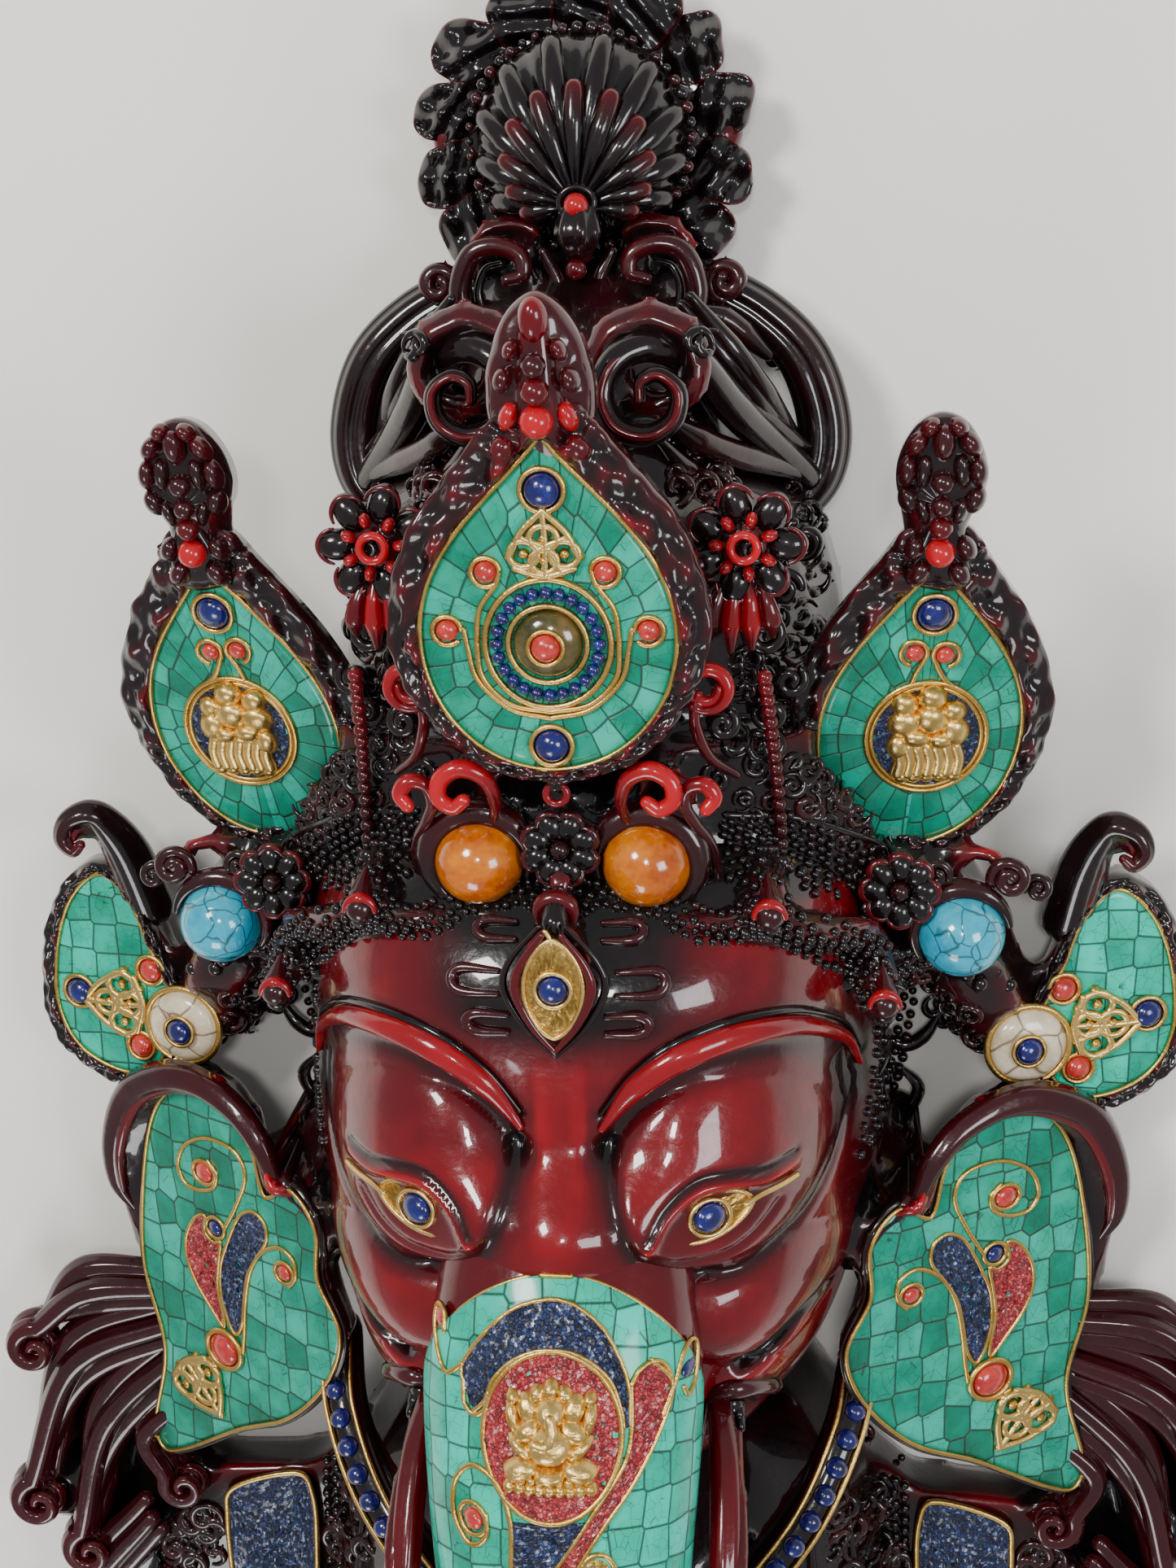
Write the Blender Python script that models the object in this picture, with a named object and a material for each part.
"""Ganesha mask: one hollow resin casting set with mosaic panels, stones and brass.

Everything is drawn in the mask's own frame, in metres: x runs across the face, y runs up it
from the third eye, and z comes out of the flat back, which lies on z = 0. The whole mask
hangs on one empty, which moves the third eye so that the mask's box is centred.
"""
import math

import bmesh
import bpy
import numpy as np

# Overall sizes
TOP_Y = 0.292
BOTTOM_Y = -0.398
WALL = 0.012
FIT_GAP = 0.0003
BACK_OVERCUT = 0.012
SEAT_REACH = 0.010
THIN_OUT_SHARE = 0.34

# Face
FACE_TOP = 0.044
CHIN_Y = -0.214
FACE_HALF_WIDTH = 0.104
FACE_DEPTH = 0.148
FACE_SQUARE = 2.6
EYE_X = 0.047
EYE_Y = -0.0785
EYE_Z = FACE_DEPTH - 0.001
EYE_SLOPE = -0.50
EYE_HALF_WIDTH = 0.0155
EYE_HALF_HEIGHT = 0.0076
EYE_TILT = 0.20
THIRD_EYE_Z = FACE_DEPTH + 0.0065
THIRD_EYE_HALF_WIDTH = 0.0088
THIRD_EYE_HALF_HEIGHT = 0.0155
EYE_SINK = 0.003

# Trunk, tusks and ears
TRUNK_TOP = -0.078
TRUNK_HALF_WIDTH = 0.044
TRUNK_CREST = 0.186
TRUNK_INLAY = 0.0022
TRUNK_SEAT_DEPTH = 0.0015
TRUNK_PATCH_START = 0.132
TRUNK_PATCH_END = 0.64
TRUNK_STEPS = 4
TRUNK_FIGURE_Y = -0.136
FIGURE_REACH = 0.018
TUSK_RADIUS = 0.0065
EAR_X = 0.145
EAR_Z = 0.050
EAR_SLOPE = -0.60
EAR_THICK = 0.020
EAR_RIM_RADIUS = 0.008

# Crown
BAND_HALF_WIDTH = 0.132
BAND_DEPTH = 0.110
BAND_LOW = 0.006
HAIR_RADIUS = 0.0075
BAND_HIGH = 0.066
LEAF_THICK = 0.013
LEAF_BORDER = 0.007
INLAY_SINK = 0.0012
INLAY_PROUD = 0.0014
CENTRE_Y = 0.107
CENTRE_Z = 0.143
CENTRE_HALF_WIDTH = 0.038
CENTRE_UP = 0.060
CENTRE_DOWN = 0.041
CENTRE_STONE_HEIGHT = 0.0055
SIDE_X = 0.1115
SIDE_Y = 0.060
SIDE_Z = 0.076
SIDE_HALF_WIDTH = 0.0325
SIDE_UP = 0.061
SIDE_DOWN = 0.042
SIDE_LEAN = 0.06
WING_Z = 0.030
WING_THICK = 0.018
AMBER_RADIUS = 0.0142
AMBER_X = 0.0265
AMBER_Y = 0.0307
AMBER_Z = 0.123
TURQUOISE_RADIUS = 0.0145
TURQUOISE_X = 0.1272
TURQUOISE_Y = -0.0112
TURQUOISE_Z = 0.069
BONE_RADIUS = 0.0140
BONE_THICK = 0.006
BONE_X = 0.1531
BONE_Y = -0.0631

# Topknot, loops and halo
KNOT_HALF_WIDTH = 0.054
KNOT_DEPTH = 0.104
LOOP_RADIUS = 0.0085
HALO_Y = 0.247
HALO_HALF_WIDTH = 0.047
HALO_THICK = 0.022
HALO_LOBES = 13
LOBE_RADIUS = 0.0105
LOBE_SINK = 0.001
HALO_HALF_HEIGHT = TOP_Y - HALO_Y - LOBE_RADIUS + LOBE_SINK
DOME_RADIUS = 0.031
DOME_DEPTH = 0.024
FLUTES = 12

# Mane and bust
MANE_Z = 0.022
MANE_BACKING = 0.0152
LOCK_RADIUS = 0.0075
SHOULDER_Z = 0.026
CHEST_HALF_WIDTH = 0.116
CHEST_DEPTH = 0.094
PLAQUE_X = 0.136
PLAQUE_Y = -0.296
PLAQUE_HALF_WIDTH = 0.017
PLAQUE_HALF_HEIGHT = 0.034

# Colours: base colour, roughness, metallic
RESIN = ("lacquered_resin", (0.16, 0.012, 0.014), 0.22, 0.0)
MOSAIC = ("turquoise_mosaic", (0.02, 0.36, 0.24), 0.35, 0.0)
LAPIS = ("lapis", (0.02, 0.035, 0.22), 0.2, 0.0)
CORAL = ("coral", (0.62, 0.03, 0.025), 0.3, 0.0)
AMBER = ("amber", (0.75, 0.27, 0.02), 0.2, 0.0)
SKY_STONE = ("veined_turquoise", (0.06, 0.42, 0.55), 0.3, 0.0)
BONE = ("bone", (0.72, 0.62, 0.46), 0.5, 0.0)
OLIVE_STONE = ("olive_agate", (0.12, 0.10, 0.02), 0.15, 0.0)
BRASS = ("brass", (0.72, 0.50, 0.20), 0.35, 1.0)

for old in list(bpy.data.objects):
    bpy.data.objects.remove(old, do_unlink=True)

part_collection = bpy.data.collections.new("ganesha_mask")
helper_collection = bpy.data.collections.new("helpers")
bpy.context.scene.collection.children.link(part_collection)
bpy.context.scene.collection.children.link(helper_collection)

mask_frame = bpy.data.objects.new("mask_frame", None)
mask_frame.location = (0.0, -(TOP_Y + BOTTOM_Y) / 2, 0.0)
part_collection.objects.link(mask_frame)


def make_material(finish):
    """A Principled material from a name, a base colour, a roughness and a metallic value."""
    name, colour, roughness, metallic = finish
    material = bpy.data.materials.get(name)
    if material is None:
        material = bpy.data.materials.new(name)
        material.use_nodes = True
        shader = material.node_tree.nodes["Principled BSDF"]
        shader.inputs["Base Color"].default_value = (*colour, 1.0)
        shader.inputs["Roughness"].default_value = roughness
        shader.inputs["Metallic"].default_value = metallic
    return material


def add_mesh(name, mesh, finish=None):
    """Put a mesh in the scene: with a finish it is a piece of the mask, else a helper shape."""
    obj = bpy.data.objects.new(name, mesh)
    if finish:
        part_collection.objects.link(obj)
        mesh.materials.clear()
        mesh.materials.append(make_material(finish))
    else:
        helper_collection.objects.link(obj)
        obj.hide_render = True
        obj.display_type = "WIRE"
    obj.parent = mask_frame
    return obj


def from_bmesh(name, shape, finish=None):
    """Turn a bmesh into an object, with its faces made to point out."""
    bmesh.ops.recalc_face_normals(shape, faces=shape.faces)
    mesh = bpy.data.meshes.new(name)
    shape.to_mesh(mesh)
    shape.free()
    return add_mesh(name, mesh, finish)


def from_curve(name, curve, finish=None, front=None):
    """Turn a curve into a welded mesh, and carry its points onto the surface z = front(x, y)."""
    holder = bpy.data.objects.new(name, curve)
    helper_collection.objects.link(holder)
    evaluated = holder.evaluated_get(bpy.context.evaluated_depsgraph_get())
    mesh = bpy.data.meshes.new_from_object(evaluated)
    bpy.data.objects.remove(holder)
    shape = bmesh.new()
    shape.from_mesh(mesh)
    bpy.data.meshes.remove(mesh)
    bmesh.ops.remove_doubles(shape, verts=shape.verts, dist=0.00002)
    if front:
        for vertex in shape.verts:
            vertex.co.z += front(vertex.co.x, vertex.co.y)
    return from_bmesh(name, shape, finish)


def smooth(points, steps, closed=False):
    """Points of a Catmull-Rom curve through the given ones, with so many steps to each span."""
    points = np.array(points, float)
    if closed:
        padded = np.vstack([points[-1:], points, points[:2]])
    else:
        padded = np.vstack([2 * points[0] - points[1], points, 2 * points[-1] - points[-2]])
    t = np.arange(steps)[:, None] / steps
    spans = []
    for a, b, c, d in zip(padded, padded[1:], padded[2:], padded[3:]):
        bend = 2 * a - 5 * b + 4 * c - d
        spans.append(0.5 * (2 * b + (c - a) * t + bend * t**2 + (3 * b - a - 3 * c + d) * t**3))
    curve = np.vstack(spans)
    return curve if closed else np.vstack([curve, points[-1:]])


def mirrored(points, side):
    """The same points on the chosen side of the face: side is 1 or -1."""
    points = np.array(points, float)
    points[:, 0] *= side
    return points


def teardrop(x, y, half_width, up, down, lean=0.0, grow=0.0, count=22):
    """A leaf outline: an ellipse below, and above it a flank that draws in to a point."""
    turns = np.linspace(0, 2 * math.pi, count, endpoint=False)
    rise = -np.cos(turns)
    narrowing = np.where(rise > 0, 1 - 0.86 * np.abs(rise) ** 2.35, 1.0)
    across = (half_width + grow) * np.sin(turns) * narrowing
    along = np.where(rise > 0, rise * (up + 1.6 * grow), rise * (down + grow))
    return np.stack([x + across + lean * along, y + along], 1)


def widened(outline, distance):
    """An outline moved outwards by a distance, along the mean normal at each of its points."""
    ahead = np.roll(outline, -1, 0) - np.roll(outline, 1, 0)
    normal = np.stack([ahead[:, 1], -ahead[:, 0]], 1)
    normal /= np.linalg.norm(normal, axis=1)[:, None]
    turn = np.sum(outline[:, 0] * np.roll(outline[:, 1], -1) - outline[:, 1] * np.roll(outline[:, 0], -1))
    return outline + normal * distance * np.sign(turn)


def plate(name, outline, front, thickness, finish=None):
    """A slab with an outline in x and y, whose front face lies on the surface z = front(x, y)."""
    curve = bpy.data.curves.new(name, "CURVE")
    curve.dimensions = "2D"
    curve.fill_mode = "BOTH"
    curve.extrude = thickness / 2
    spline = curve.splines.new("POLY")
    spline.points.add(len(outline) - 1)
    for point, (x, y) in zip(spline.points, outline):
        point.co = (x, y, 0.0, 1.0)
    spline.use_cyclic_u = True
    return from_curve(name, curve, finish, lambda x, y: front(x, y) - thickness / 2)


def rod(name, path, radii, finish=None, roundness=1):
    """A round bar along a path of points, with a radius at each end and in between."""
    curve = bpy.data.curves.new(name, "CURVE")
    curve.dimensions = "3D"
    curve.bevel_depth = 1.0
    curve.bevel_resolution = roundness
    curve.use_fill_caps = True
    spline = curve.splines.new("POLY")
    spline.points.add(len(path) - 1)
    shares = np.linspace(0, 1, len(path))
    sizes = np.interp(shares, np.linspace(0, 1, len(radii)), radii)
    for point, place, size in zip(spline.points, path, sizes):
        point.co = (*place, 1.0)
        point.radius = size
    return from_curve(name, curve, finish)


def loft(name, sections, finish=None):
    """A solid through closed rings of points, capped at both ends."""
    shape = bmesh.new()
    rings = [[shape.verts.new(point) for point in section] for section in sections]
    for ring, following in zip(rings, rings[1:]):
        for i in range(len(ring)):
            j = (i + 1) % len(ring)
            shape.faces.new((ring[i], ring[j], following[j], following[i]))
    shape.faces.new(rings[0])
    shape.faces.new(reversed(rings[-1]))
    bmesh.ops.triangulate(shape, faces=shape.faces)
    return from_bmesh(name, shape, finish)


def arched_loft(name, rows, across, square, relief=None):
    """A solid of arched sections, one for each row of height, half width and depth.

    Each section is half a superellipse: x = w cos(t)^(2/square), z = d sin(t)^(2/2.2), closed
    behind the back plane. relief(x, y) adds carving to its depth.
    """
    turns = np.linspace(math.pi, 0, across)
    sections = []
    for y, half_width, depth in rows:
        x = half_width * np.sign(np.cos(turns)) * np.abs(np.cos(turns)) ** (2 / square)
        z = depth * np.sin(turns) ** (2 / 2.2)
        if relief:
            z = z + relief(x, y) * np.clip(z / 0.05, 0, 1)
        arch = [(a, y, c) for a, c in zip(x[1:-1], z[1:-1])]
        sections.append([(x[0], y, -BACK_OVERCUT)] + arch + [(x[-1], y, -BACK_OVERCUT)])
    return loft(name, sections)


def ellipsoid(name, centre, radii, segments=8, rings=6, finish=None):
    """A sphere drawn out to three radii."""
    shape = bmesh.new()
    bmesh.ops.create_uvsphere(shape, u_segments=segments, v_segments=rings, radius=1.0)
    bmesh.ops.scale(shape, vec=radii, verts=shape.verts)
    bmesh.ops.translate(shape, vec=centre, verts=shape.verts)
    return from_bmesh(name, shape, finish)


def cabochon(name, place, radius, height, front, finish, segments=8, rings=2):
    """A low domed stone at a place in x and y, with its flat back on the surface z = front(x, y)."""
    shape = bmesh.new()
    bmesh.ops.create_uvsphere(shape, u_segments=segments, v_segments=rings * 2, radius=1.0)
    bmesh.ops.scale(shape, vec=(radius, radius, height), verts=shape.verts)
    everything = shape.verts[:] + shape.edges[:] + shape.faces[:]
    bmesh.ops.bisect_plane(
        shape, geom=everything, plane_co=(0, 0, 0), plane_no=(0, 0, 1), clear_inner=True, dist=1e-6)
    bmesh.ops.holes_fill(shape, edges=shape.edges)
    for vertex in shape.verts:
        x = vertex.co.x + place[0]
        y = vertex.co.y + place[1]
        vertex.co = (x, y, vertex.co.z + front(x, y))
    return from_bmesh(name, shape, finish)


def spiral(centre, start_radius, end_radius, start_angle, turns, count):
    """Points that wind in about a centre from one radius to another, at the centre's z."""
    angles = start_angle + np.linspace(0, 2 * math.pi * turns, count)
    radii = np.linspace(start_radius, end_radius, count)
    x = centre[0] + radii * np.cos(angles)
    y = centre[1] + radii * np.sin(angles)
    return np.stack([x, y, np.full(count, centre[2])], 1)


def side_name(side):
    """The wearer's side is not used: left and right are as one looks at the mask."""
    return "right" if side > 0 else "left"


# Surfaces that pieces share


def face_relief(x, y):
    """Carving on the face: lids swell, and the cheeks stand over the creases beside the mouth."""
    across = np.abs(x)
    lids = 0.010 * np.exp(-(((across - 0.052) / 0.030) ** 2 + ((y + 0.070) / 0.036) ** 2) ** 2)
    cheeks = 0.009 * np.exp(-(((across - 0.074) / 0.026) ** 2 + ((y + 0.122) / 0.024) ** 2) ** 2)
    bridge = 0.008 * np.exp(-((x / 0.022) ** 2 + ((y + 0.086) / 0.026) ** 2))
    creases = -0.006 * np.exp(-(((across - 0.030) / 0.010) ** 2 + ((y + 0.058) / 0.014) ** 2))
    return lids + cheeks + bridge + creases


FACE_ROWS = [
    (FACE_TOP, 0.086, 0.080), (0.024, 0.096, 0.124), (-0.008, 0.102, FACE_DEPTH),
    (-0.050, FACE_HALF_WIDTH, FACE_DEPTH - 0.004), (-0.095, FACE_HALF_WIDTH, FACE_DEPTH),
    (-0.140, 0.096, FACE_DEPTH - 0.002), (-0.180, 0.077, 0.130), (-0.203, 0.056, 0.096),
    (CHIN_Y, 0.036, 0.050)]


def face_depth(x, y):
    """How far the face stands out at a point: the arched section of that height, with its relief."""
    rows = np.array(FACE_ROWS)[::-1]
    half_width = np.interp(y, rows[:, 0], rows[:, 1])
    depth = np.interp(y, rows[:, 0], rows[:, 2])
    arch = 1 - min(abs(x) / half_width, 1.0) ** FACE_SQUARE
    return float(depth * arch ** (1 / 2.2) + face_relief(x, y))


def centre_leaf(x, y):
    return CENTRE_Z + 0.10 * (y - CENTRE_Y)


def side_leaf(x, y):
    return SIDE_Z - 0.18 * (abs(x) - SIDE_X) + 0.42 * (y - SIDE_Y)


def ear_face(x, y):
    return EAR_Z + EAR_SLOPE * (abs(x) - EAR_X)


def wing_face(x, y):
    return WING_Z - 0.25 * (abs(x) - 0.185)


def shoulder_face(x, y):
    return SHOULDER_Z


def eye_face(x, y):
    return EYE_Z + EYE_SLOPE * (abs(x) - EYE_X)


def third_eye_face(x, y):
    return THIRD_EYE_Z


def trunk_face(x, y):
    """A plane that rests on the trunk's mosaic under the figure, along the trunk's slope."""
    tops = np.array([trunk_section(place, TRUNK_INLAY, math.pi / 2, math.pi / 2, 1)[0]
                     for place in np.linspace(0.1, 0.5, 17)])[::-1]
    ends = [TRUNK_FIGURE_Y - FIGURE_REACH, TRUNK_FIGURE_Y + FIGURE_REACH]
    low, high = np.interp(ends, tops[:, 1], tops[:, 2])
    middle = max((low + high) / 2, float(np.interp(TRUNK_FIGURE_Y, tops[:, 1], tops[:, 2])))
    return middle + FIT_GAP + (high - low) / (2 * FIGURE_REACH) * (y - TRUNK_FIGURE_Y)


def raised(front, lift):
    """The same surface, moved out by a lift."""
    return lambda x, y: front(x, y) + lift


def almond(x, y, half_width, half_height, tilt=0.0, count=14):
    """An eye outline: two arcs that meet in points, tilted up towards its outer end."""
    turns = np.linspace(0, 2 * math.pi, count, endpoint=False)
    across = half_width * np.cos(turns)
    along = half_height * np.sin(turns) * np.abs(np.sin(turns)) ** 0.6
    return np.stack([x + across, y + along + tilt * across], 1)


def trunk_section(place, lift=0.0, start=0.0, end=2 * math.pi, count=14):
    """Points round the trunk at a share of its length: an oval that follows its bent path."""
    path = smooth(TRUNK_PATH, TRUNK_STEPS)
    sizes = smooth([(w, h, 0.0) for w, h in TRUNK_SIZES], TRUNK_STEPS)
    position = place * (len(path) - 1)
    low = min(int(position), len(path) - 2)
    share = position - low
    centre = path[low] * (1 - share) + path[low + 1] * share
    half_width, half_depth, _ = sizes[low] * (1 - share) + sizes[low + 1] * share
    along = path[low + 1] - path[low]
    along /= np.linalg.norm(along)
    out = np.array([0.0, 0.0, 1.0])
    out -= along * out.dot(along)
    out /= np.linalg.norm(out)
    across = np.cross(out, along)
    turns = np.linspace(start, end, count, endpoint=end - start < 6.0)
    return [centre + across * (half_width + lift) * math.cos(t) + out * (half_depth + lift) * math.sin(t)
            for t in turns]


TRUNK_PATH = [
    (0.0, TRUNK_TOP + 0.008, 0.118), (0.0, TRUNK_TOP - 0.020, 0.138),
    (0.0, -0.136, TRUNK_CREST - 0.036), (0.0, -0.195, 0.164), (0.0, -0.255, 0.160),
    (0.004, -0.305, 0.146), (0.028, -0.342, 0.136), (0.060, -0.338, 0.132), (0.068, -0.312, 0.130)]
TRUNK_SIZES = [
    (0.030, 0.016), (0.040, 0.026), (TRUNK_HALF_WIDTH, 0.036), (0.040, 0.035), (0.034, 0.032),
    (0.029, 0.028), (0.025, 0.024), (0.020, 0.020), (0.014, 0.014)]


# The casting: solids that run into each other, joined at the end


def make_face():
    rows = smooth(FACE_ROWS, 2)
    yield arched_loft("face", rows, 17, FACE_SQUARE, face_relief)
    pad = almond(0.0, 0.0, THIRD_EYE_HALF_HEIGHT + 0.006, THIRD_EYE_HALF_WIDTH + 0.005)[:, ::-1]
    yield plate("third_eye_pad", pad, raised(third_eye_face, 0.0006), 0.020)
    for side in (-1, 1):
        brow = [(0.013, -0.050), (0.024, -0.036), (0.038, -0.026), (0.056, -0.022), (0.074, -0.026),
                (0.088, -0.040), (0.094, -0.056)]
        brow = [(x, y, face_depth(x, y) + 0.0005) for x, y in brow]
        yield rod("brow", mirrored(brow, side), (0.002, 0.0036, 0.0032, 0.002), roundness=0)
        fold = [(0.050, -0.124), (0.062, -0.136), (0.058, -0.150), (0.047, -0.160)]
        fold = [(x, y, face_depth(x, y) - 0.001) for x, y in fold]
        yield rod("mouth_fold", mirrored(fold, side), (0.003, 0.006, 0.006), roundness=1)
        tusk = [(0.050, -0.150, 0.120), (0.056, -0.190, 0.164), (0.054, -0.222, 0.180),
                (0.044, -0.246, 0.186)]
        radii = (TUSK_RADIUS, TUSK_RADIUS, 0.7 * TUSK_RADIUS, 0.3 * TUSK_RADIUS)
        yield rod("tusk", mirrored(smooth(tusk, 2), side), radii)


def make_trunk():
    places = np.linspace(0, 1, 17)
    yield loft("trunk", [trunk_section(place, count=12) for place in places])


EAR_POINTS = [
    (0.1515, -0.084), (0.134, -0.086), (0.1244, -0.100), (0.1195, -0.118), (0.1080, -0.112),
    (0.0986, -0.124), (0.0988, -0.144), (0.0906, -0.163), (0.0974, -0.185), (0.1152, -0.207),
    (0.1390, -0.222), (0.1660, -0.242), (0.1770, -0.246), (0.1790, -0.234), (0.1715, -0.200),
    (0.1785, -0.165), (0.1740, -0.122), (0.1657, -0.096)]
WING_POINTS = [
    (0.1650, -0.034), (0.1710, -0.018), (0.1820, -0.0075), (0.1950, -0.0175), (0.2030, -0.038),
    (0.2045, -0.062), (0.1960, -0.078), (0.1780, -0.085), (0.1640, -0.079), (0.1560, -0.058)]


def make_ears():
    for side in (-1, 1):
        outline = widened(smooth(mirrored(EAR_POINTS, side), 2, closed=True), 0.0045)
        yield plate("ear", outline, ear_face, EAR_THICK)
        rim = [(0.108, -0.124, 0.070), (0.122, -0.102, 0.066), (0.138, -0.080, 0.056), (0.158, -0.080, 0.044),
               (0.176, -0.100, 0.032), (0.185, -0.135, 0.024), (0.183, -0.172, 0.020)]
        radii = (0.006, EAR_RIM_RADIUS, EAR_RIM_RADIUS, EAR_RIM_RADIUS, 0.004)
        yield rod("ear_rim", mirrored(rim, side), radii)
        root = [(0.090, -0.120, 0.030), (0.135, -0.140, 0.030), (0.165, -0.170, 0.018)]
        yield rod("ear_root", mirrored(root, side), (0.030, 0.022, 0.014))


def make_crown():
    middle = (BAND_LOW + BAND_HIGH) / 2
    yield arched_loft("band", [
        (BAND_LOW, BAND_HALF_WIDTH - 0.008, BAND_DEPTH - 0.008), (middle, BAND_HALF_WIDTH, BAND_DEPTH),
        (BAND_HIGH, BAND_HALF_WIDTH - 0.012, BAND_DEPTH + 0.002)], 17, 2.4)
    yield arched_loft("crown_core", [
        (BAND_HIGH - 0.010, 0.092, BAND_DEPTH - 0.004), (0.100, 0.088, 0.112), (0.134, 0.078, 0.112),
        (0.150, 0.060, 0.100)], 15, 2.4)
    hair_line = [(-0.110, -0.036, 0.050), (-0.100, -0.010, 0.080), (-0.074, 0.008, 0.116),
                 (0.0, 0.012, 0.138)]
    yield rod("hair_line", smooth(hair_line + [(-x, y, z) for x, y, z in hair_line[2::-1]], 2),
              (HAIR_RADIUS, HAIR_RADIUS))
    centre = teardrop(0.0, CENTRE_Y, CENTRE_HALF_WIDTH, CENTRE_UP, CENTRE_DOWN, grow=LEAF_BORDER)
    yield plate("centre_leaf", centre, centre_leaf, LEAF_THICK)
    yield rod("centre_stem", [(0.0, 0.070, 0.095), (0.0, 0.110, 0.132)], (0.030, 0.026))
    finial = [(0.0, 0.160, 0.143), (0.0, 0.176, 0.150), (0.0, 0.192, 0.153), (0.0, 0.208, 0.156)]
    yield rod("centre_finial", smooth(finial, 2), (0.016, 0.010, 0.013, 0.008, 0.010, 0.005))
    for side in (-1, 1):
        leaf = teardrop(SIDE_X, SIDE_Y, SIDE_HALF_WIDTH, SIDE_UP, SIDE_DOWN, SIDE_LEAN, LEAF_BORDER)
        yield plate("side_leaf", mirrored(leaf, side), side_leaf, LEAF_THICK)
        stem = [(0.096, 0.040, 0.050), (0.112, 0.066, 0.068)]
        yield rod("side_stem", mirrored(stem, side), (0.026, 0.020))
        finial = [(0.114, 0.118, 0.096), (0.114, 0.134, 0.103), (0.114, 0.148, 0.110), (0.117, 0.166, 0.116)]
        yield rod("side_finial", mirrored(smooth(finial, 2), side), (0.014, 0.011, 0.014, 0.011, 0.006))
        wing = widened(smooth(mirrored(WING_POINTS, side), 2, closed=True), 0.006)
        yield plate("wing", wing, wing_face, WING_THICK)
        horn = [(0.168, -0.012, 0.030), (0.172, 0.008, 0.038), (0.178, 0.020, 0.046), (0.186, 0.016, 0.050),
                (0.184, 0.008, 0.050)]
        yield rod("wing_horn", mirrored(smooth(horn, 2), side), (0.012, 0.009, 0.006, 0.004))
        arm = [(0.098, 0.010, 0.040), (0.128, -0.024, 0.042), (0.146, -0.058, 0.026), (0.170, -0.055, 0.018)]
        yield rod("wing_arm", mirrored(smooth(arm, 2), side), (0.030, 0.022, 0.018, 0.012))
        for x, y, z, radius in ((0.0570, 0.1287, 0.114, 0.013), (0.1062, 0.0063, 0.070, 0.014)):
            yield ellipsoid("rosette", (side * x, y, z - 0.004), (radius, radius, 0.010), 8, 4)
            stem = [(side * 0.9 * x, y, z - 0.030), (side * x, y, z - 0.004)]
            yield rod("rosette_stem", stem, (0.010, 0.008))
        for x, y, z in ((0.0654, 0.0130, 0.122), (0.1015, -0.0252, 0.096)):
            hook = [(x - 0.006, y + 0.006, z - 0.040), (x - 0.002, y + 0.007, z - 0.006),
                    (x + 0.001, y - 0.001, z), (x, y - 0.008, z - 0.006)]
            yield rod("hook", mirrored(hook, side), (0.010, 0.009, 0.005))
        for x, y, z, reach, low in ((AMBER_X, AMBER_Y, AMBER_Z, AMBER_RADIUS, 0.100),
                                    (TURQUOISE_X, TURQUOISE_Y, TURQUOISE_Z, TURQUOISE_RADIUS, 0.040)):
            yield rod("cup", [(side * 0.98 * x, y - 0.003, low), (side * x, y, z - 0.2 * reach)],
                      (1.05 * reach, 1.22 * reach), roundness=2)
            curl = spiral((x + 0.004, y + reach + 0.006, z - 0.006), 0.010, 0.006, -0.6, 0.8, 7)
            yield rod("cup_curl", mirrored(curl, side), (0.0055, 0.0035), roundness=0)
    yield ellipsoid("centre_rosette", (0.0, 0.0351, 0.112), (0.013, 0.013, 0.011), 8, 4)
    yield rod("rosette_drop", [(0.0, 0.034, 0.118), (0.0, 0.0244, 0.138)], (0.008, 0.006))


def make_topknot():
    yield arched_loft("topknot", [
        (0.132, 0.066, 0.104), (0.156, KNOT_HALF_WIDTH, KNOT_DEPTH), (0.182, 0.048, 0.092),
        (0.200, 0.042, 0.060), (0.214, 0.036, 0.030)], 13, 2.4)
    for side in (-1, 1):
        volute = spiral((0.029, 0.181, 0.104), 0.019, 0.0075, math.pi, -1.2, 11)
        tail = np.array([(0.030, 0.130, 0.100), (0.016, 0.148, 0.106)])
        yield rod("volute", mirrored(np.vstack([tail, volute]), side), (0.009, 0.008, 0.005), roundness=0)
        loop = [(0.040, 0.200, 0.024), (0.058, 0.190, 0.025), (0.073, 0.176, 0.026), (0.0795, 0.156, 0.026),
                (0.078, 0.138, 0.028), (0.068, 0.128, 0.030), (0.056, 0.130, 0.034)]
        yield rod("ribbon_loop", mirrored(smooth(loop, 2), side), (0.0075, LOOP_RADIUS, LOOP_RADIUS, 0.007))
        curl = spiral((0.025, 0.209, 0.036), 0.015, 0.0065, 2.6, -1.1, 10)
        yield rod("halo_scroll", mirrored(curl, side), (0.006, 0.004), roundness=0)
        yield ellipsoid("loop_knob", (side * 0.047, 0.202, 0.024), (0.010, 0.010, 0.009), 6, 4)


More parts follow.
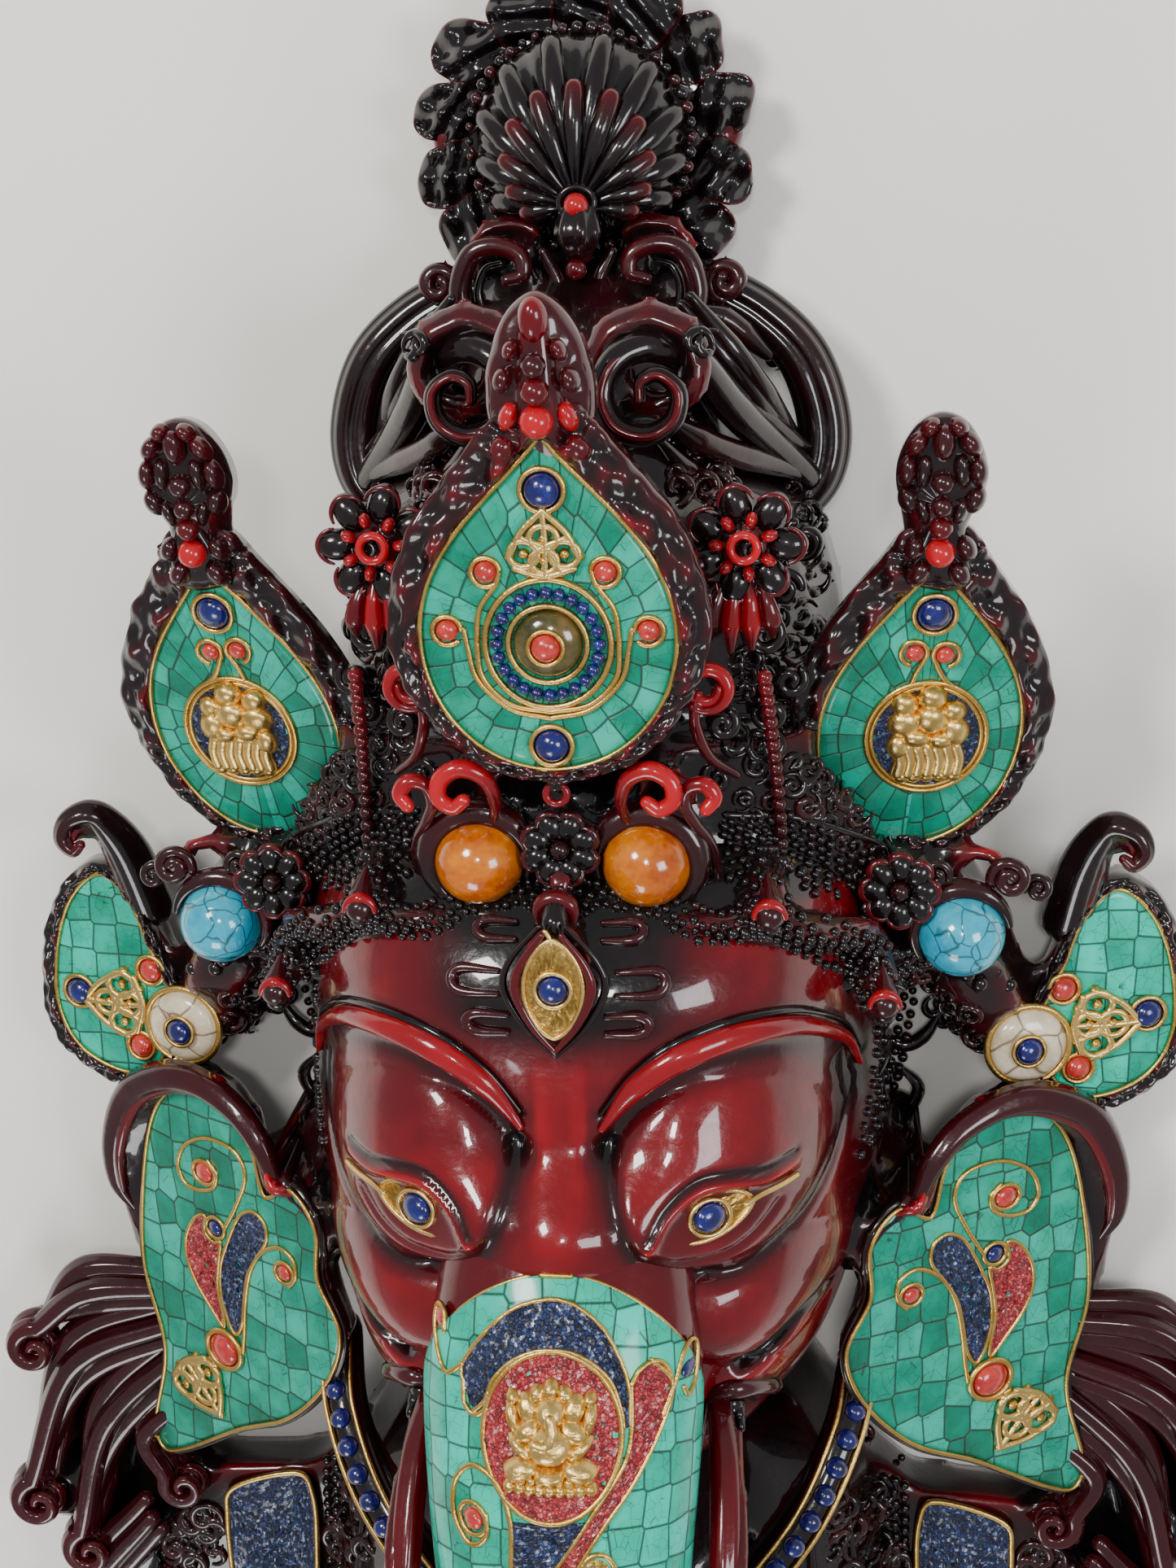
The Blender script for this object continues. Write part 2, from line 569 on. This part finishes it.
def make_halo():
    turns = np.linspace(0, 2 * math.pi, 26, endpoint=False)
    disc = np.stack([HALO_HALF_WIDTH * np.cos(turns), HALO_Y + HALO_HALF_HEIGHT * np.sin(turns)], 1)
    yield plate("halo_disc", disc, lambda x, y: HALO_THICK, HALO_THICK + BACK_OVERCUT)
    for turn in np.linspace(math.radians(-42), math.radians(222), HALO_LOBES):
        x = (HALO_HALF_WIDTH - LOBE_SINK) * math.cos(turn)
        y = HALO_Y + (HALO_HALF_HEIGHT - LOBE_SINK) * math.sin(turn)
        yield ellipsoid("lobe", (x, y, 0.013), (LOBE_RADIUS, LOBE_RADIUS, 0.0115), 6, 4)
    dome = bmesh.new()
    bmesh.ops.create_uvsphere(dome, u_segments=2 * FLUTES, v_segments=6, radius=1.0)
    for vertex in dome.verts:
        flute = 1.0 + 0.06 * math.cos(FLUTES * math.atan2(vertex.co.y, vertex.co.x))
        vertex.co = (vertex.co.x * DOME_RADIUS * flute, vertex.co.y * DOME_RADIUS * flute - 0.002,
                     vertex.co.z * DOME_DEPTH)
    bmesh.ops.translate(dome, vec=(0, HALO_Y, HALO_THICK - 0.002), verts=dome.verts)
    yield from_bmesh("halo_dome", dome)
    yield ellipsoid("halo_bead", (0.0, 0.2266, 0.036), (0.007, 0.006, 0.007), 6, 4)


def make_mane():
    for side in (-1, 1):
        backing = [(0.160, -0.262), (0.168, -0.236), (0.158, -0.186), (0.176, -0.180),
                   (0.200, -0.194), (0.220, -0.206), (0.220, -0.240),
                   (0.224, -0.280), (0.214, -0.320), (0.205, BOTTOM_Y - 0.010), (0.100, BOTTOM_Y - 0.010)]
        flat = mirrored(backing, side)
        yield plate("mane_backing", flat, lambda x, y: MANE_BACKING, MANE_BACKING + BACK_OVERCUT)
        for start, middle, curl, radius, turns in (
                ((0.170, -0.186), (0.203, -0.186), (0.2260, -0.2075), 0.0095, -1.1),
                ((0.168, -0.198), (0.213, -0.222), (0.2245, -0.2770), 0.0110, -1.1),
                ((0.166, -0.208), (0.200, -0.245), (0.2080, -0.3000), 0.0110, -1.1),
                ((0.162, -0.222), (0.186, -0.246), (0.1690, -0.2660), 0.0105, -1.0),
                ((0.186, -0.290), (0.218, -0.320), (0.2170, -0.3600), 0.0110, -1.1)):
            winding = spiral((*curl, MANE_Z), radius, 0.0060, 1.4, turns, 7)
            lock = [(*start, 0.016), (*middle, MANE_Z)]
            path = np.vstack([smooth(np.vstack([lock, winding[:1]]), 2), winding[1:]])
            yield rod("lock", mirrored(path, side), (LOCK_RADIUS, LOCK_RADIUS, 0.0035), roundness=0)


def make_bust():
    shoulders = [(0.070, -0.206), (0.096, -0.236), (0.120, -0.256), (0.156, -0.258), (0.184, -0.290),
                 (0.192, BOTTOM_Y - 0.008)]
    outline = np.vstack([shoulders, mirrored(shoulders, -1)[::-1]])
    yield plate("shoulders", outline, shoulder_face, SHOULDER_Z + BACK_OVERCUT + 0.001)

    def trunk_bed(x, y):
        return 0.036 * np.exp(-(x / 0.034) ** 2)

    rows = [(-0.188, 0.068, 0.060), (-0.206, 0.084, 0.082), (-0.240, 0.104, CHEST_DEPTH),
            (-0.310, CHEST_HALF_WIDTH, CHEST_DEPTH), (BOTTOM_Y - 0.006, CHEST_HALF_WIDTH - 0.008, 0.080)]
    yield arched_loft("chest", rows, 15, 2.6, trunk_bed)
    for side in (-1, 1):
        collar = [(0.088, -0.198, 0.078), (0.074, -0.222, 0.092), (0.050, -0.250, 0.104),
                  (0.020, -0.268, 0.118)]
        yield rod("collar", mirrored(smooth(collar, 2), side), (0.008, 0.008))


def join(name, shapes, finish):
    """Union of solids that overlap, made by one exact Boolean over a collection of them."""
    group = bpy.data.collections.new(name + "_shapes")
    helper_collection.children.link(group)
    first, *rest = shapes
    for shape in rest:
        group.objects.link(shape)
    union = first.modifiers.new("union", "BOOLEAN")
    union.operation = "UNION"
    union.solver = "EXACT"
    union.operand_type = "COLLECTION"
    union.collection = group
    solid = bake(name, first, finish)
    for shape in rest:
        bpy.data.objects.remove(shape)
    return solid


def bake(name, obj, finish):
    """A new object from another one as its modifiers leave it; the other one goes."""
    bpy.context.view_layer.update()
    evaluated = obj.evaluated_get(bpy.context.evaluated_depsgraph_get())
    mesh = bpy.data.meshes.new_from_object(evaluated)
    bpy.data.objects.remove(obj)
    return add_mesh(name, mesh, finish)


def cut(obj, cutters):
    """Take cutters out of a solid, one Boolean after another; EXACT loses the thinned solid here."""
    for cutter in cutters:
        modifier = obj.modifiers.new("cut", "BOOLEAN")
        modifier.operation = "DIFFERENCE"
        modifier.solver = "MANIFOLD"
        modifier.object = cutter
        obj = bake("casting_cut", obj, None)
        drop_crumbs(obj.data)
        bpy.data.objects.remove(cutter)
    return obj


def drop_crumbs(mesh):
    """Keep only the largest shell of a mesh, without the slivers that a cut leaves loose."""
    shape = bmesh.new()
    shape.from_mesh(mesh)
    waiting = set(shape.faces)
    shells = []
    while waiting:
        shell = [waiting.pop()]
        for face in shell:
            neighbours = {other for edge in face.edges for other in edge.link_faces} & waiting
            waiting -= neighbours
            shell.extend(neighbours)
        shells.append(shell)
    shells.sort(key=len)
    crumbs = [face for shell in shells[:-1] for face in shell]
    bmesh.ops.delete(shape, geom=crumbs, context="FACES")
    shape.to_mesh(mesh)
    shape.free()


def box(name, low, high):
    """A block between two corners."""
    shape = bmesh.new()
    bmesh.ops.create_cube(shape, size=1.0)
    bmesh.ops.scale(shape, vec=[b - a for a, b in zip(low, high)], verts=shape.verts)
    bmesh.ops.translate(shape, vec=[(a + b) / 2 for a, b in zip(low, high)], verts=shape.verts)
    return from_bmesh(name, shape)


def thin_out(obj, share):
    """Drop the least needed triangles of a solid, down to a share of them."""
    decimate = obj.modifiers.new("thin_out", "DECIMATE")
    decimate.ratio = share
    decimate.use_collapse_triangulate = True
    return bake("casting_thinned", obj, None)


def inlay_outlines():
    """Each mosaic panel: its name, outline, surface and finish."""
    centre = teardrop(0.0, CENTRE_Y, CENTRE_HALF_WIDTH, CENTRE_UP, CENTRE_DOWN)
    yield "centre_leaf_mosaic", centre, centre_leaf, MOSAIC
    for side in (-1, 1):
        end = "_" + side_name(side)
        leaf = teardrop(SIDE_X, SIDE_Y, SIDE_HALF_WIDTH, SIDE_UP, SIDE_DOWN, SIDE_LEAN)
        yield "side_leaf_mosaic" + end, mirrored(leaf, side), side_leaf, MOSAIC
        yield "wing_mosaic" + end, smooth(mirrored(WING_POINTS, side), 2, closed=True), wing_face, MOSAIC
        yield "ear_mosaic" + end, smooth(mirrored(EAR_POINTS, side), 2, closed=True), ear_face, MOSAIC
        turns = np.linspace(0, 2 * math.pi, 12, endpoint=False)
        x = PLAQUE_X + PLAQUE_HALF_WIDTH * np.cos(turns)
        y = PLAQUE_Y + PLAQUE_HALF_HEIGHT * np.sin(turns)
        yield "shoulder_plaque" + end, mirrored(np.stack([x, y], 1), side), shoulder_face, LAPIS


def eye_outlines():
    """Each brass eye plate: its name, outline and surface."""
    third = almond(0.0, 0.0, THIRD_EYE_HALF_HEIGHT, THIRD_EYE_HALF_WIDTH)[:, ::-1]
    yield "third_eye_plate", third, third_eye_face
    for side in (-1, 1):
        eye = almond(EYE_X + 0.002, EYE_Y, EYE_HALF_WIDTH, EYE_HALF_HEIGHT, EYE_TILT)
        yield "eye_plate_" + side_name(side), mirrored(eye, side), eye_face


def trunk_patch(name, inner, outer, grow, finish=None):
    """The mosaic shell on the trunk: an arch at its top, then a band round its front."""
    sections = []
    for place in np.linspace(TRUNK_PATCH_START - grow, TRUNK_PATCH_END + grow, 9):
        entry = min((place - TRUNK_PATCH_START + 2 * grow + 0.01) / 0.12, 1.0)
        leaving = min((TRUNK_PATCH_END + 2 * grow + 0.01 - place) / 0.12, 1.0)
        reach = math.radians(78) * math.sqrt(min(entry * (2 - entry), leaving * (2 - leaving))) + grow
        start = math.pi / 2 - reach
        end = math.pi / 2 + reach
        front = trunk_section(place, outer, start, end, 10)
        back = trunk_section(place, inner, start, end, 10)
        sections.append(front + back[::-1])
    return loft(name, sections, finish)


def casting_cutters():
    """The flat back and foot, the hollow behind the face, and the seats of what is set in the resin."""
    yield box("back_cut", (-0.4, -0.6, -0.1), (0.4, 0.5, 0.0))
    yield box("foot_cut", (-0.4, -0.6, -0.05), (0.4, BOTTOM_Y, 0.4))
    hollow = [(0.018, 0.070, 0.088), (-0.008, 0.102 - WALL, FACE_DEPTH - WALL - 0.006),
              (-0.095, FACE_HALF_WIDTH - WALL, FACE_DEPTH - WALL - 0.006),
              (-0.140, 0.096 - WALL, FACE_DEPTH - WALL - 0.010), (-0.186, 0.048, 0.080)]
    yield arched_loft("hollow", hollow, 11, FACE_SQUARE)
    for name, outline, front, _ in inlay_outlines():
        depth = INLAY_SINK + FIT_GAP
        yield plate(name + "_seat", widened(outline, FIT_GAP), raised(front, SEAT_REACH), SEAT_REACH + depth)
    for name, outline, front in eye_outlines():
        yield plate(name + "_seat", widened(outline, FIT_GAP), raised(front, SEAT_REACH),
                    SEAT_REACH + EYE_SINK + FIT_GAP)
    yield trunk_patch("trunk_seat", -TRUNK_SEAT_DEPTH, SEAT_REACH, 0.004)
    for side in (-1, 1):
        turns = np.linspace(0, 2 * math.pi, 14, endpoint=False)
        rim = BONE_RADIUS + FIT_GAP
        disc = np.stack([side * BONE_X + rim * np.cos(turns), BONE_Y + rim * np.sin(turns)], 1)
        yield plate("bone_seat", disc, raised(wing_face, INLAY_PROUD + SEAT_REACH), SEAT_REACH)
        yield ellipsoid("amber_seat", (side * AMBER_X, AMBER_Y, AMBER_Z), [AMBER_RADIUS + FIT_GAP] * 3, 12, 6)
        yield ellipsoid("turquoise_seat", (side * TURQUOISE_X, TURQUOISE_Y, TURQUOISE_Z),
                        [TURQUOISE_RADIUS + FIT_GAP] * 3, 12, 6)


def make_casting():
    """Join the shapes, thin the mesh, then cut the flats and seats, so that they stay true."""
    shapes = []
    makers = (make_face, make_trunk, make_ears, make_crown, make_topknot, make_halo, make_mane, make_bust)
    for maker in makers:
        shapes += list(maker())
    solid = join("casting_blank", shapes, None)
    solid = thin_out(solid, THIN_OUT_SHARE)
    solid = cut(solid, list(casting_cutters()))
    return bake("mask_casting", solid, RESIN)


# What is set in the casting


def make_inlays():
    for name, outline, front, finish in inlay_outlines():
        plate(name, outline, raised(front, INLAY_PROUD), INLAY_SINK + INLAY_PROUD, finish)
    for name, outline, front in eye_outlines():
        plate(name, outline, front, EYE_SINK, BRASS)
    trunk_patch("trunk_mosaic", FIT_GAP, TRUNK_INLAY, 0.0, MOSAIC)


def make_balls():
    for side in (-1, 1):
        end = side_name(side)
        ellipsoid("amber_ball_" + end, (side * AMBER_X, AMBER_Y, AMBER_Z), [AMBER_RADIUS] * 3, 12, 6, AMBER)
        ellipsoid("turquoise_ball_" + end, (side * TURQUOISE_X, TURQUOISE_Y, TURQUOISE_Z),
                  [TURQUOISE_RADIUS] * 3, 12, 6, SKY_STONE)
        bed = raised(wing_face, INLAY_PROUD + FIT_GAP)
        cabochon("bone_disc_" + end, (side * BONE_X, BONE_Y), BONE_RADIUS, BONE_THICK, bed, BONE, 14)
        cabochon("bone_disc_lapis_" + end, (side * BONE_X, BONE_Y), 0.0048, 0.004,
                 raised(bed, BONE_THICK + FIT_GAP), LAPIS)


def make_stones():
    on_centre = raised(centre_leaf, INLAY_PROUD + FIT_GAP)
    cabochon("centre_stone", (0.0, 0.1055), 0.0105, CENTRE_STONE_HEIGHT, on_centre, OLIVE_STONE, 14)
    cabochon("centre_stone_coral", (0.0, 0.1055), 0.0045, 0.004,
             raised(on_centre, CENTRE_STONE_HEIGHT + FIT_GAP), CORAL)
    cabochon("centre_lapis_upper", (0.0, 0.1520), 0.0056, 0.005, on_centre, LAPIS)
    cabochon("centre_lapis_lower", (0.0, 0.0735), 0.0054, 0.005, on_centre, LAPIS)
    cabochon("third_eye_lapis", (0.0, 0.0), 0.0050, 0.0045, raised(third_eye_face, FIT_GAP), LAPIS)
    for side in (-1, 1):
        end = "_" + side_name(side)
        for kind, x, y, radius, front, finish in (
                ("centre_coral_upper", 0.0176, 0.1276, 0.0034, centre_leaf, CORAL),
                ("centre_coral_lower", 0.0300, 0.1096, 0.0034, centre_leaf, CORAL),
                ("side_leaf_lapis", 0.1150, 0.1040, 0.0058, side_leaf, LAPIS),
                ("wing_lapis", 0.1954, -0.0547, 0.0052, wing_face, LAPIS),
                ("wing_coral_upper", 0.1650, -0.0430, 0.0045, wing_face, CORAL),
                ("wing_coral_lower", 0.1712, -0.0735, 0.0045, wing_face, CORAL),
                ("ear_coral", 0.1427, -0.1890, 0.0064, ear_face, CORAL)):
            cabochon(kind + end, (side * x, y), radius, 0.8 * radius,
                     raised(front, INLAY_PROUD + FIT_GAP), finish)
        cabochon("pupil" + end, (side * EYE_X, EYE_Y), 0.0055, 0.005, raised(eye_face, FIT_GAP), LAPIS)


def brass_relief(name, x, y, half_width, half_height, front, lobes):
    """A small casting with a lobed outline and a domed body, flat on its panel."""
    turns = np.linspace(0, 2 * math.pi, 2 * lobes, endpoint=False)
    edge = 1.0 + 0.12 * np.cos(lobes * turns)
    shape = bmesh.new()
    rings = []
    for share, height in ((1.0, 0.0), (0.96, 0.0014), (0.55, 0.0036)):
        across = x + half_width * share * edge * np.cos(turns)
        along = y + half_height * share * edge * np.sin(turns)
        rings.append([shape.verts.new((a, b, height + front(a, b))) for a, b in zip(across, along)])
    for ring, following in zip(rings, rings[1:]):
        for i in range(len(ring)):
            j = (i + 1) % len(ring)
            shape.faces.new((ring[i], ring[j], following[j], following[i]))
    shape.faces.new(rings[0])
    shape.faces.new(reversed(rings[-1]))
    return from_bmesh(name, shape, BRASS)


def make_brass():
    brass_relief("trunk_figure", 0.0, TRUNK_FIGURE_Y, 0.0120, FIGURE_REACH, trunk_face, 7)
    on_centre = raised(centre_leaf, INLAY_PROUD + FIT_GAP)
    brass_relief("centre_ornament", 0.0, 0.1360, 0.0110, 0.0085, on_centre, 5)
    for side in (-1, 1):
        end = "_" + side_name(side)
        for kind, x, y, half_width, half_height, front in (
                ("side_leaf_figure", 0.1137, 0.0592, 0.0115, 0.0160, side_leaf),
                ("wing_ornament", 0.1800, -0.0570, 0.0080, 0.0100, wing_face),
                ("ear_ornament", 0.1550, -0.2090, 0.0095, 0.0090, ear_face)):
            brass_relief(kind + end, side * x, y, half_width, half_height,
                         raised(front, INLAY_PROUD + FIT_GAP), 6)


make_casting()
make_inlays()
make_balls()
make_stones()
make_brass()
